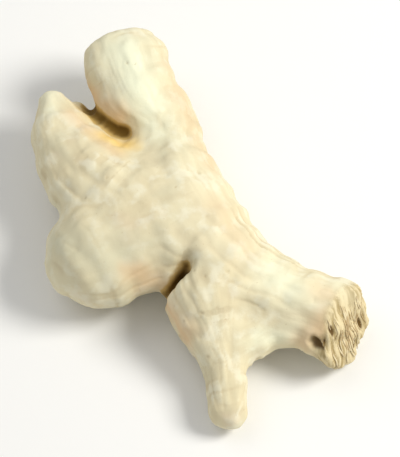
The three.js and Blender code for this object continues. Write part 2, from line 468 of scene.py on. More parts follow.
STROKES = (
    # The chalk strokes are lime chalk and painted light: they whiten the upper knob's lit top and the
    # neck down to its low side, which turns from the light.
    Stroke(Mask.CHALK_AND_LIGHT, ((-10.5, 22, 17), (-7.5, 15.5, 16.5), (-5.5, 10.5, 15)), 4.0, 1.0),
    Stroke(Mask.CHALK_AND_LIGHT, ((20, -19.5, 14), (13, -17, 14)), 3.2, 0.9),
    # The blush strokes are a peach tint and painted shade: they darken the upper knob's low left edge,
    # the finger's base and other flanks that turn from the light.
    Stroke(Mask.BLUSH_AND_SHADE, ((-15.5, 18, 11), (-13, 14.4, 12.6), (-11, 12.4, 13)), 2.0, 1.0),
    Stroke(Mask.BLUSH_AND_SHADE, ((-18.5, 12.8, 13), (-14.6, 8.8, 13.8), (-11.4, 5, 14.6)), 1.6, 0.6),
    Stroke(Mask.BLUSH_AND_SHADE, ((-3.5, 20, 13), (1.5, 11, 12.5), (4.5, 4, 12.5)), 2.4, 0.5),
    Stroke(Mask.BLUSH_AND_SHADE, ((21.3, -23.5, 12), (20, -25.5, 10.4), (17.5, -26, 9)), 2.4, 0.9),
    Stroke(Mask.BLUSH_AND_SHADE, ((-8, -15.6, 12.5), (-4, -17, 9), (-5, -19, 6)), 2.2, 0.9),
    Stroke(Mask.AMBER, ((-12.4, 8.4, 12.8), (-9.8, 7.2, 12.8)), 2.1, 1.0),
    Stroke(Mask.AMBER, ((-17.4, 15.4, 10), (-15.2, 13.2, 11.2)), 1.4, 0.6),
    Stroke(Mask.BLUSH_AND_SHADE, ((20, -19, 13), (23.5, -20.5, 12)), 2.0, 0.6),
    Stroke(Mask.BLUSH_AND_SHADE, ((-3.3, -19, 8), (-1.9, -22, 9), (-0.6, -24, 7.6)), 2.2, 0.9),
    Stroke(Mask.BLUSH_AND_SHADE, ((4.4, -5, 15.4), (8.4, -12.5, 14)), 2.2, 0.3),
    # The dust strokes are grey dust and painted shade: they grey the broad knob and the left flanks,
    # which turn from the light.
    Stroke(Mask.DUST_AND_SHADE, ((-19.8, -10.5, 13.4), (-14.5, -14, 14.6), (-9, -13.5, 14)), 4.2, 0.9),
    Stroke(Mask.DUST_AND_SHADE, ((-20.5, 7.6, 13.8), (-19, 5, 14)), 1.8, 0.5),
    Stroke(Mask.DUST_AND_SHADE, ((-3, 9.5, 14), (-1, 7, 14.6)), 2.0, 0.35),
    Stroke(Mask.CHALK_AND_LIGHT, ((10.5, -25, 8.6), (13.7, -25, 8.3), (16.5, -24.4, 9.2)), 2.0, 0.8),
    Stroke(Mask.CHALK_AND_LIGHT, ((-21.7, 13.6, 12.9), (-22, 17, 12)), 1.8, 0.6),
    Stroke(Mask.CHALK_AND_LIGHT, ((23.4, -18.5, 12.5), (26.5, -20.5, 10.5)), 2.0, 0.9),
    # The scar strokes are marks on the skin, and painted shade round the notch's end and by the slit.
    Stroke(Mask.SCAR_AND_SHADE, ((-8, -16.2, 10.5), (-5, -17, 9.5)), 2.0, 0.35),
    Stroke(Mask.SCAR_AND_SHADE, ((-14, 15.2, 12.4), (-11.6, 13, 12.6)), 1.3, 0.4),
    Stroke(Mask.SCAR_AND_SHADE, ((-4.9, 11.8, 14.2), (-4.4, 10.2, 14.2)), 0.6, 0.5),
    Stroke(Mask.SCAR_AND_SHADE, ((-9, 11.2, 12.8), (-8.4, 10.2, 12.7), (-8.9, 8.8, 12.2)), 1.3, 0.6),
)


@dataclass(frozen=True)
class Fold:
    """Long narrow folds of one seed that run along the knobs.

    Share is how much of the skin they take, and tint is how dark they are.
    """

    seed: int
    depth: float
    width: float
    length: float
    share: float
    bend: float
    tint: float


@dataclass(frozen=True)
class RoundMarks:
    """Round dips set here and there on the skin, each with a low rim a little outside it.

    The dip's width, the rim's place and its width are in shares of a mark's radius, and the rim's
    height is a share of the depth.
    """

    count: int
    radii: Span
    depth: float
    dip_width: float = 0.75
    rim_place: float = 1.15
    rim_width: float = 0.3
    rim_height: float = 0.45


@dataclass(frozen=True)
class SkinRelief:
    """The sizes of what stands on or is cut in the dried skin."""

    voxel: float = 0.3
    weld: float = 0.002
    even_rounds: int = 6
    even_factor: float = 0.5
    sharpen: float = 0.25
    sharpen_rounds: tuple[int, int] = (16, 60)
    sharpen_range: Span = (-0.6, 0.35)
    soften: float = 0.45
    soften_rounds: tuple[int, int] = (90, 270)
    soften_range: Span = (-0.4, 0.4)
    lumps: Ripple = Ripple(seed=13, height=0.1, length=3.6)
    pebbles: Ripple = Ripple(seed=14, height=0.035, length=1.2)
    patches: Ripple = Ripple(seed=12, height=1.0, length=8.0)
    patch_range: Span = (-0.35, 0.45)
    patch_rest: float = 1.15
    bend: Ripple = Ripple(seed=16, height=1.0, length=5.0)
    fold_ends: Span = (0.4, 0.85)
    fold_shift: float = 7.3
    wrinkle: Fold = Fold(seed=17, depth=0.11, width=2.6, length=11.0, share=0.16, bend=0.35, tint=0.5)
    crinkle: Fold = Fold(seed=18, depth=0.05, width=1.2, length=5.0, share=0.18, bend=0, tint=0.3)
    scar_line_depth: float = 0.09
    scar_line_width: float = 0.26
    scar_line_tint: float = 0.7
    wander: Ripple = Ripple(seed=19, height=1.1, length=6.0)
    shake: Ripple = Ripple(seed=20, height=0.25, length=1.5)
    line_breaks: Ripple = Ripple(seed=21, height=1.0, length=5.0)
    line_break_range: Span = (-0.1, 0.55)
    line_break_shift: float = 3.0
    flank_radius: float = 8.5
    flank_turns: Span = (0.62, 0.84)
    flank_reach: Span = (14.0, 35.0)
    flank_width: float = 0.32
    flank_depth: float = 0.22
    flank_shake: Ripple = Ripple(seed=20, height=0.09, length=4.0)
    flank_ends: float = 5.0
    flank_tint: float = 0.9
    # How dark the painted shade is where the skin lies below its neighbours.
    groove_tint: float = 1.5
    root_scars: RoundMarks = RoundMarks(count=16, radii=(0.7, 1.2), depth=0.3)
    root_scar_heights: Span = (1.0, 6.5)
    pits: RoundMarks = RoundMarks(count=40, radii=(0.2, 0.4), depth=0.14)
    marks_seed: int = 5
    marks_tint: Span = (0.3, 0.8)
    rest_fade: float = 0.8
    torn_rounds: int = 8
    stroke_shake: Ripple = Ripple(seed=15, height=0.45, length=2.6)


@dataclass(frozen=True)
class GingerSkin:
    """The root's skin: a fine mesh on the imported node, with its relief and its masks."""

    relief: SkinRelief
    neck: TornNeck
    clefts: tuple[Cleft, ...]
    strokes: tuple[Stroke, ...]
    name: str = "dried_ginger_skin"
    mean_radius: float = 7.0
    open_rays: int = 20
    open_reach: float = 8.0
    open_start: float = 0.06
    open_rounds: int = 2
    cleft_reach: float = 2.6
    torn_from: float = 0.4

    def build(self, node: Object) -> Object:
        """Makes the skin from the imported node.

        Args:
            node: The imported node's object.

        Returns:
            The new object, at the origin, with its masks as attributes.
        """
        skin = self.fine_copy(node)
        mesh = skin.data
        points, normals = read_points(mesh)
        where = Coordinates.of(points, normals, KNOBS)
        height, masks = self.work_relief(mesh, where)
        points = points + height[:, None] * normals
        points[:, 2] = np.maximum(points[:, 2], 0)
        mesh.vertices.foreach_set("co", (points * MM).astype(np.float32).ravel())
        mesh.update()
        # Painted shade: how closed in each point is darkens the clefts and hollows in the finish.
        masks[Mask.HOLLOW], shut = self.closeness(mesh)
        masks[Mask.CLEFT] = np.maximum(masks[Mask.CLEFT], shut)
        for mask, values in self.stroked(where).items():
            masks[mask] = np.maximum(masks.get(mask, 0), values)
        masks[Mask.GRAIN] = self.grain(where, masks[Mask.TORN])
        for mask, values in masks.items():
            store(mesh, mask, values)
        mesh.shade_smooth()
        return skin

    def fine_copy(self, node: Object) -> Object:
        """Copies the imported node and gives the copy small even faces.

        Args:
            node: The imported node's object.

        Returns:
            The copy, with nothing left to apply.
        """
        edit = bmesh.new()
        edit.from_mesh(node.data)
        bmesh.ops.remove_doubles(edit, verts=edit.verts, dist=self.relief.weld * MM)
        copy = add_object(self.name, edit)
        rounded = copy.modifiers.new("rounded", "SUBSURF")
        rounded.levels = 1
        rounded.render_levels = 1
        fine = copy.modifiers.new("fine", "REMESH")
        fine.mode = "VOXEL"
        fine.voxel_size = self.relief.voxel * MM
        even = copy.modifiers.new("even", "SMOOTH")
        even.factor = self.relief.even_factor
        even.iterations = self.relief.even_rounds
        bpy.context.view_layer.update()
        graph = bpy.context.evaluated_depsgraph_get()
        finished = bpy.data.meshes.new_from_object(copy.evaluated_get(graph))
        copy.modifiers.clear()
        copy.data = finished
        finished.name = self.name
        finished.materials.clear()
        return copy

    @staticmethod
    def spread(mesh: Mesh, values: Values, rounds: int) -> Values:
        """Averages values over neighbouring points, round after round.

        Args:
            mesh: The mesh whose edges join the points.
            values: A number or a vector for each point.
            rounds: How many rounds.

        Returns:
            The averaged values.
        """
        edges = np.zeros(len(mesh.edges) * 2, np.int32)
        mesh.edges.foreach_get("vertices", edges)
        first, second = edges.reshape(-1, 2).T
        count = np.bincount(edges, minlength=len(values))[:, None]
        columns = values.reshape(len(values), -1)
        for _ in range(rounds):
            sums = [
                np.bincount(first, column[second], len(values))
                + np.bincount(second, column[first], len(values))
                for column in columns.T
            ]
            columns = 0.5 * columns + 0.5 * np.stack(sums, axis=1) / count
        return columns.reshape(values.shape)

    def stands(
        self, mesh: Mesh, points: Points, normals: Points, rounds: int, wide_rounds: int
    ) -> Values:
        """Measures how far points stand over the skin's mean, less what a wider mean stands."""
        height = ((points - self.spread(mesh, points, rounds)) * normals).sum(axis=1)
        return height - self.spread(mesh, height, wide_rounds)

    def work_relief(self, mesh: Mesh, where: Coordinates) -> tuple[Values, dict[Mask, Values]]:
        """Works out how far the skin rises or sinks.

        Args:
            mesh: The fine mesh.
            where: The skin's coordinates.

        Returns:
            The height at each point, in millimetres, and the masks that follow from it.
        """
        relief = self.relief
        points = where.points
        torn = self.neck.mask(where)
        plain = 1 - torn
        patch = smooth_step(*relief.patch_range, relief.patches.at(points))
        wrinkles = patch * where.on_knobs(lambda k: self.folds(where, k, relief.wrinkle))
        crinkles = where.on_knobs(lambda k: self.folds(where, k, relief.crinkle))
        crinkles = (relief.patch_rest - patch) * crinkles
        lines = where.on_knobs(lambda k: self.scar_lines(where, k))
        flank = self.flank_lines(where)
        scars, scar_mask = self.root_scars(where)
        tears, pits, strands = self.neck.relief(where)
        cleft = np.zeros(len(points))
        sharp = self.stands(mesh, points, where.normals, *relief.sharpen_rounds)
        broad = self.stands(mesh, points, where.normals, *relief.soften_rounds)
        height = relief.sharpen * np.clip(sharp, *relief.sharpen_range)
        height -= relief.soften * where.weights[:, BROAD] * np.clip(broad, *relief.soften_range)
        height += relief.lumps.at(points)
        height += relief.pebbles.at(points)
        height -= plain * relief.wrinkle.depth * wrinkles
        height -= plain * relief.crinkle.depth * crinkles
        height -= plain * relief.scar_line_depth * lines
        height -= plain * relief.flank_depth * flank
        height += plain * scars + torn * tears
        for each in self.clefts:
            gap = line_gap(points, in_row(each.line))
            height -= each.depth * bell(gap, each.width)
            cleft = np.maximum(cleft, each.stain_and_shade * bell(gap, each.stain_and_shade_width))
        height *= smooth_step(0, relief.rest_fade, points[:, 2])
        grooves = relief.wrinkle.tint * wrinkles + relief.crinkle.tint * crinkles
        grooves += relief.scar_line_tint * lines + relief.flank_tint * flank
        # Painted shade: skin that lies below its neighbours darkens to tan like the folds and lines.
        grooves -= relief.groove_tint * np.minimum(sharp, 0)
        masks = {
            Mask.CREASE_AND_SHADE: plain * np.clip(grooves, 0, 1),
            Mask.TORN: self.spread(mesh, torn, relief.torn_rounds),
            Mask.STRAND: strands,
            # The scars' tan and the painted shade in the torn face's pits and gaps share one mask.
            Mask.SCAR_AND_SHADE: np.clip(plain * scar_mask + torn * pits, 0, 1),
            Mask.CLEFT: cleft,
        }
        return height, masks

    def folds(self, where: Coordinates, k: int, fold: Fold) -> Values:
        """Gives the folds along a knob, by noise that closes up round it.

        Args:
            where: The skin's coordinates.
            k: The knob's number.
            fold: The kind of fold.

        Returns:
            A value for each point: 1 at the bottom of a fold, 0 away from them.
        """
        turn = self.mean_radius / fold.width
        angle = where.angle[:, k]
        along = where.along[:, k] / fold.length + self.relief.fold_shift * k
        spots = np.stack([turn * np.cos(angle), turn * np.sin(angle), along], axis=1)
        spots += fold.bend * self.relief.bend.at(where.points)[:, None]
        depth = bell(GradientNoise(fold.seed)(spots), fold.share)
        return depth * smooth_step(*self.relief.fold_ends, where.aside[:, k])

    def scar_lines(self, where: Coordinates, k: int) -> Values:
        """Gives the thin lines round a knob where its leaf scales grew.

        Args:
            where: The skin's coordinates.
            k: The knob's number.

        Returns:
            A value for each point: 1 on a line, 0 away from them.
        """
        size = self.relief
        pitch = KNOBS[k].line_pitch
        wander = size.wander.at(where.points) + size.shake.at(where.points)
        phase = (where.along[:, k] + wander) / pitch
        gap = np.abs(phase - np.round(phase)) * pitch
        breaks = size.line_breaks.at(where.points, size.line_break_shift * k)
        return smooth_step(*size.line_break_range, breaks) * bell(gap, size.scar_line_width)

    def flank_lines(self, where: Coordinates) -> Values:
        """Gives the two lines that run side by side along the trunk's outer flank.

        Args:
            where: The skin's coordinates.

        Returns:
            A value for each point: 1 on a line, 0 away from them.
        """
        size = self.relief
        along = where.along[:, 0]
        start, end = size.flank_reach
        turn = math.pi - np.abs(where.angle[:, 0]) + size.flank_shake.at(where.points)
        upper = where.angle[:, 0] > 0
        gaps = [(turn - edge) * size.flank_radius for edge in size.flank_turns]
        lines = sum(bell(gap, size.flank_width) for gap in gaps)
        ends = smooth_step(start, start + size.flank_ends, along)
        ends *= smooth_step(end, end - size.flank_ends, along)
        return where.weights[:, 0] * upper * ends * np.clip(lines, 0, 1)

    def root_scars(self, where: Coordinates) -> tuple[Values, Values]:
        """Sets the round scars of the thin roots, most of them on the under side, and small pits.

        Args:
            where: The skin's coordinates.

        Returns:
            The height of the scars at each point, and a mask that is 1 in their middles.
        """
        size = self.relief
        draws = np.random.default_rng(size.marks_seed)
        points = where.points
        bottom, top = size.root_scar_heights
        low = np.flatnonzero((points[:, 2] < top) & (points[:, 2] > bottom))
        anywhere = np.arange(len(points))
        height = np.zeros(len(points))
        mask = np.zeros(len(points))
        for pool, marks in ((low, size.root_scars), (anywhere, size.pits)):
            for middle in points[draws.choice(pool, marks.count, replace=False)]:
                gap = np.linalg.norm(points - middle, axis=1) / draws.uniform(*marks.radii)
                dip = bell(gap, marks.dip_width)
                rim = marks.rim_height * bell(gap - marks.rim_place, marks.rim_width)
                height += marks.depth * (rim - dip)
                mask = np.maximum(mask, dip * draws.uniform(*size.marks_tint))
        return height, mask

    def closeness(self, mesh: Mesh) -> tuple[Values, Values]:
        """Measures how closed in each point is by the root round it, which the finish paints as shade.

        Args:
            mesh: The fine mesh.

        Returns:
            For each point, how closed in it is by all of the root that is near, and how closed in
            by walls very near it: 0 in the open, up to 1 deep in a cleft.
        """
        points, normals = read_points(mesh)
        tree = ray_tree(mesh)
        spiral = np.arange(self.open_rays) + 0.5
        tilt = np.sqrt(spiral / self.open_rays)
        turn = spiral * math.pi * (3 - math.sqrt(5))
        dome = np.stack([tilt * np.cos(turn), tilt * np.sin(turn), np.sqrt(1 - tilt**2)], axis=1)
        upright = np.where(np.abs(normals[:, 2:]) < 0.9, [[0, 0, 1]], [[1, 0, 0]])
        first = np.cross(normals, upright)
        first /= np.linalg.norm(first, axis=1)[:, None]
        frames = np.stack([first, np.cross(normals, first), normals], axis=1)
        starts = points + self.open_start * normals
        near = np.full((len(points), self.open_rays), self.open_reach)
        for i, (start, rays) in enumerate(zip(starts, dome @ frames)):
            origin = Vector(start)
            for j, ray in enumerate(rays):
                distance = tree.ray_cast(origin, Vector(ray), self.open_reach)[3]
                if distance is not None:
                    near[i, j] = distance
        hollow = (1 - near / self.open_reach).mean(axis=1)
        shut = (near < self.cleft_reach).mean(axis=1)
        return self.spread(mesh, hollow, self.open_rounds), self.spread(mesh, shut, self.open_rounds)

    def stroked(self, where: Coordinates) -> dict[Mask, Values]:
        """Lays the strokes of colour on the skin, with uneven edges.

        Args:
            where: The skin's coordinates.

        Returns:
            The value of each stroke's mask at each point.
        """
        uneven = 1 + self.relief.stroke_shake.at(where.points)
        masks = {stroke.mask: np.zeros(len(where.points)) for stroke in self.strokes}
        for stroke in self.strokes:
            gap = line_gap(where.points, in_row(stroke.line)) * uneven
            masks[stroke.mask] = np.maximum(masks[stroke.mask], stroke.share * bell(gap, stroke.width))
        return masks

    def grain(self, where: Coordinates, torn: Values) -> Points:
        """Gives coordinates that follow the fibres: along each knob, and down the torn face.

        Args:
            where: The skin's coordinates.
            torn: How much each point belongs to the torn face.

        Returns:
            Points whose third number runs along the fibres.
        """
        rows = np.arange(len(where.points))
        main = where.weights.argmax(axis=1)
        angle = where.angle[rows, main]
        level = self.mean_radius * np.stack([np.cos(angle), np.sin(angle)], axis=1)
        knobs = np.hstack([level, where.along[rows, main][:, None]])
        normal, across, along = self.neck.directions()
        face = (where.points - in_row([self.neck.point])[0]) @ np.stack([across, normal, along], axis=1)
        return np.where(torn[:, None] > self.torn_from, face, knobs)


@dataclass(frozen=True)
class BreakStrands:
    """The strands of fibre that lie down the torn face of the neck.

    Each follows points of the skin that are found from outside the face to a little inside it.
    """

    neck: TornNeck
    name: str = "torn_fibre_strands"
    count: int = 44
    seed: int = 29
    sides: int = 6
    steps: int = 9
    starts_across: Span = (-4.8, 4.8)
    starts_along: Span = (-4.5, 2.5)
    lengths: Span = (1.8, 5.5)
    radii: Span = (0.08, 0.18)
    lifts: Span = (0.0, 0.3)
    sway: float = 0.25
    outside: float = 6.0
    inside: float = 1.5
    end_share: float = 0.25
    bedding: float = 0.3

    def build(self, skin: Object) -> Object:
        """Lays the strands on the skin.

        Args:
            skin: The root's skin.

        Returns:
            The strands, as one object.
        """
        draws = np.random.default_rng(self.seed)
        normal, across, along = self.neck.directions()
        middle = in_row([self.neck.point])[0]
        tree = ray_tree(skin.data)
        edit = bmesh.new()
        for _ in range(self.count):
            start = middle + draws.uniform(*self.starts_across) * across
            start = start + draws.uniform(*self.starts_along) * along
            length = draws.uniform(*self.lengths)
            sway = draws.uniform(-self.sway, self.sway)
            path = []
            for share in np.linspace(0, 1, self.steps):
                place = start + share * length * (along + sway * share * across)
                above = place + self.outside * normal
                hit = tree.ray_cast(Vector(above), Vector(-normal), self.outside + self.inside)[0]
                if hit is not None:
                    path.append(hit)
            if len(path) == self.steps:
                radius = draws.uniform(*self.radii)
                self.lay(edit, path, radius, draws.uniform(*self.lifts), Vector(normal))
        bmesh.ops.recalc_face_normals(edit, faces=edit.faces)
        bmesh.ops.scale(edit, vec=(MM, MM, MM), verts=edit.verts)
        strands = add_object(self.name, edit)
        strands.data.shade_smooth()
        return strands

    def lay(self, edit: BMesh, path: list[Vector], radius: float, lift: float, out: Vector) -> None:
        """Adds one strand, thin at both ends, with its far end lifted a little.

        Args:
            edit: The mesh that the strand is added to.
            path: The points that it follows.
            radius: Its greatest radius.
            lift: How far its end stands off the face.
            out: The direction off the face.
        """
        rings = []
        for i, point in enumerate(path):
            share = i / (len(path) - 1)
            ahead = path[min(i + 1, len(path) - 1)] - path[max(i - 1, 0)]
            swell = math.sin(math.pi * (0.08 + 0.84 * share))
            thick = radius * (self.end_share + (1 - self.end_share) * swell)
            place = point + out * (self.bedding * radius + lift * share**3)
            turned = ahead.to_track_quat("Z", "Y").to_matrix().to_4x4()
            turned.translation = place
            made = bmesh.ops.create_circle(edit, segments=self.sides, radius=thick, matrix=turned)
            rings.append(made["verts"])
        for near, far in zip(rings, rings[1:]):
            for j in range(self.sides):
                k = (j + 1) % self.sides
                edit.faces.new((near[j], near[k], far[k], far[j]))
        for ring in (rings[0], rings[-1]):
            edit.faces.new(ring)


def add_object(name: str, edit: BMesh) -> Object:
    """Makes an object of a finished edit mesh, and frees the edit mesh.

    Args:
        name: The object's name.
        edit: The edit mesh.

    Returns:
        The object, linked to the scene.
    """
    mesh = bpy.data.meshes.new(name)
    edit.to_mesh(mesh)
    edit.free()
    made = bpy.data.objects.new(name, mesh)
    bpy.context.scene.collection.objects.link(made)
    return made


def read_points(mesh: Mesh) -> tuple[Points, Points]:
    """Reads a mesh's points, in millimetres, and its directions.

    Args:
        mesh: The mesh.

    Returns:
        The points and the normals.
    """
    points = np.zeros(len(mesh.vertices) * 3, np.float32)
    normals = np.zeros(len(mesh.vertices) * 3, np.float32)
    mesh.vertices.foreach_get("co", points)
    mesh.vertex_normals.foreach_get("vector", normals)
    return points.reshape(-1, 3).astype(float) / MM, normals.reshape(-1, 3).astype(float)


def ray_tree(mesh: Mesh) -> BVHTree:
    """Sorts a mesh's faces so that rays find them, in millimetres."""
    faces = [tuple(face.vertices) for face in mesh.polygons]
    return BVHTree.FromPolygons([tuple(point) for point in read_points(mesh)[0]], faces)


def store(mesh: Mesh, mask: Mask, values: Values) -> None:
    """Stores values on a mesh's points.

    Args:
        mesh: The mesh.
        mask: What names the values.
        values: A number or a vector for each point.
    """
    kind, entry = ("FLOAT", "value") if values.ndim == 1 else ("FLOAT_VECTOR", "vector")
    attribute = mesh.attributes.new(mask.value, kind, "POINT")
    attribute.data.foreach_set(entry, values.astype(np.float32).ravel())


@dataclass(frozen=True)
class NodeSheet:
    """Adds nodes to the node tree of a material or a group, and joins them."""

    tree: NodeTree

    def add(self, kind: str, inputs: dict | None = None, **settings) -> Node:
        """Adds a node.

        Args:
            kind: The node's type.
            inputs: A value or another node's output for each named or numbered input.
            settings: The node's own properties.

        Returns:
            The node.
        """
        node = self.tree.nodes.new(kind)
        for name, value in settings.items():
            setattr(node, name, value)
        for key, value in (inputs or {}).items():
            self.set(node.inputs[key], value)
        return node

    def set(self, socket: NodeSocket, value: Given) -> None:
        """Joins an output to a socket, or gives the socket a value or a colour.

        Args:
            socket: The socket.
            value: What it gets.
        """
        if isinstance(value, NodeSocket):
            self.tree.links.new(value, socket)
        elif socket.type == "RGBA" and len(value) == 3:
            socket.default_value = (*value, 1.0)
        else:
            socket.default_value = value

    def value(self, mask: Mask) -> NodeSocket:
        """Reads one of the mesh's masks."""
        return self.add("ShaderNodeAttribute", attribute_name=mask.value).outputs["Fac"]

    def noise(self, spots: NodeSocket, scale: float, detail: float = 3) -> NodeSocket:
        """Adds a noise of so many waves to a unit and finer layers, from 0 to 1."""
        inputs = {"Vector": spots, "Scale": scale, "Detail": detail, "Roughness": 0.55}
        return self.add("ShaderNodeTexNoise", inputs).outputs["Fac"]

    def between(self, value: NodeSocket, low: float, high: float) -> NodeSocket:
        """Eases a value from 0 at low to 1 at high."""
        inputs = {"Value": value, "From Min": low, "From Max": high}
        return self.add("ShaderNodeMapRange", inputs, interpolation_type="SMOOTHSTEP").outputs["Result"]

    def times(self, first: Given, second: Given) -> NodeSocket:
        """Multiplies two values."""
        return self.add("ShaderNodeMath", {0: first, 1: second}, operation="MULTIPLY").outputs[0]

    def plus(self, first: Given, second: Given) -> NodeSocket:
        """Adds two values."""
        return self.add("ShaderNodeMath", {0: first, 1: second}, operation="ADD").outputs[0]

    def mix(self, share: Given, first: Given, second: Given) -> NodeSocket:
        """Mixes two colours.

        Args:
            share: How much of the second colour shows.
            first: The first colour, a linear RGB triple or an output.
            second: The second colour.

        Returns:
            The mixed colour.
        """
        node = self.add("ShaderNodeMix", data_type="RGBA")
        sockets = {socket.identifier: socket for socket in node.inputs}
        self.set(sockets["Factor_Float"], share)
        self.set(sockets["A_Color"], first)
        self.set(sockets["B_Color"], second)
        return next(s for s in node.outputs if s.identifier == "Result_Color")


@dataclass(frozen=True)
class Powder:
    """The powdery bump that the skin and the strands share."""

    name: str = "powdery_surface"
    scale: float = 2600
    detail: float = 3
    share: float = 0.5
    strength: float = 0.4
    height: float = 0.12

    def group(self) -> NodeTree:
        """Makes the bump as a node group, the first time that it is asked for.

        Returns:
            A group that takes coordinates and a height, and puts out a normal.
        """
        if self.name in bpy.data.node_groups:
            return bpy.data.node_groups[self.name]
        group = bpy.data.node_groups.new(self.name, "ShaderNodeTree")
        group.interface.new_socket("Spots", in_out="INPUT", socket_type="NodeSocketVector")
        group.interface.new_socket("Height", in_out="INPUT", socket_type="NodeSocketFloat")
        group.interface.new_socket("Normal", in_out="OUTPUT", socket_type="NodeSocketVector")
        sheet = NodeSheet(group)
        given = sheet.add("NodeGroupInput")
        powder = sheet.times(sheet.noise(given.outputs["Spots"], self.scale, self.detail), self.share)
        height = sheet.plus(powder, given.outputs["Height"])
        inputs = {"Height": height, "Strength": self.strength, "Distance": self.height * MM}
        bump = sheet.add("ShaderNodeBump", inputs)
        sheet.add("NodeGroupOutput", {"Normal": bump.outputs["Normal"]})
        return group


@dataclass(frozen=True)
class PowderyFinish:
    """What the root's two finishes share: a dry, powdery surface."""

    name: str
    roughness: float
    specular: float
    powder: Powder = Powder()

    def colour(self, sheet: NodeSheet, spots: NodeSocket) -> NodeSocket:
        """Gives the colour at each spot. Each finish has its own."""
        raise NotImplementedError

    def height(self, sheet: NodeSheet) -> Given:
        """Gives what stands on the surface besides the powder. Each finish has its own."""
        raise NotImplementedError

    def material(self) -> Material:
        """Makes the material.

        Returns:
            The finished material.
        """
        material = bpy.data.materials.new(self.name)
        material.use_nodes = True
        material.node_tree.nodes.clear()
        sheet = NodeSheet(material.node_tree)
        spots = sheet.add("ShaderNodeTexCoord").outputs["Object"]
        surface = sheet.add("ShaderNodeGroup", node_tree=self.powder.group())
        sheet.set(surface.inputs["Spots"], spots)
        sheet.set(surface.inputs["Height"], self.height(sheet))
        inputs = {
            "Base Color": self.colour(sheet, spots),
            "Roughness": self.roughness,
            "Specular IOR Level": self.specular,
            "Normal": surface.outputs["Normal"],
        }
        shader = sheet.add("ShaderNodeBsdfPrincipled", inputs)
        sheet.add("ShaderNodeOutputMaterial", {"Surface": shader.outputs["BSDF"]})
        return material


@dataclass(frozen=True)
class Patches:
    """Soft patches of a colour, laid where noise rises from one limit to the other.

    The scale is in waves to a metre, and the share is how much of the colour shows in a patch.
    """

    scale: float
    detail: float
    limits: Span
    share: float

    def lay(self, sheet: NodeSheet, spots: NodeSocket, colour: Given, laid: Colour) -> NodeSocket:
        """Lays the patches in one colour over another."""
        patch = sheet.between(sheet.noise(spots, self.scale, self.detail), *self.limits)
        return sheet.mix(sheet.times(patch, self.share), colour, laid)


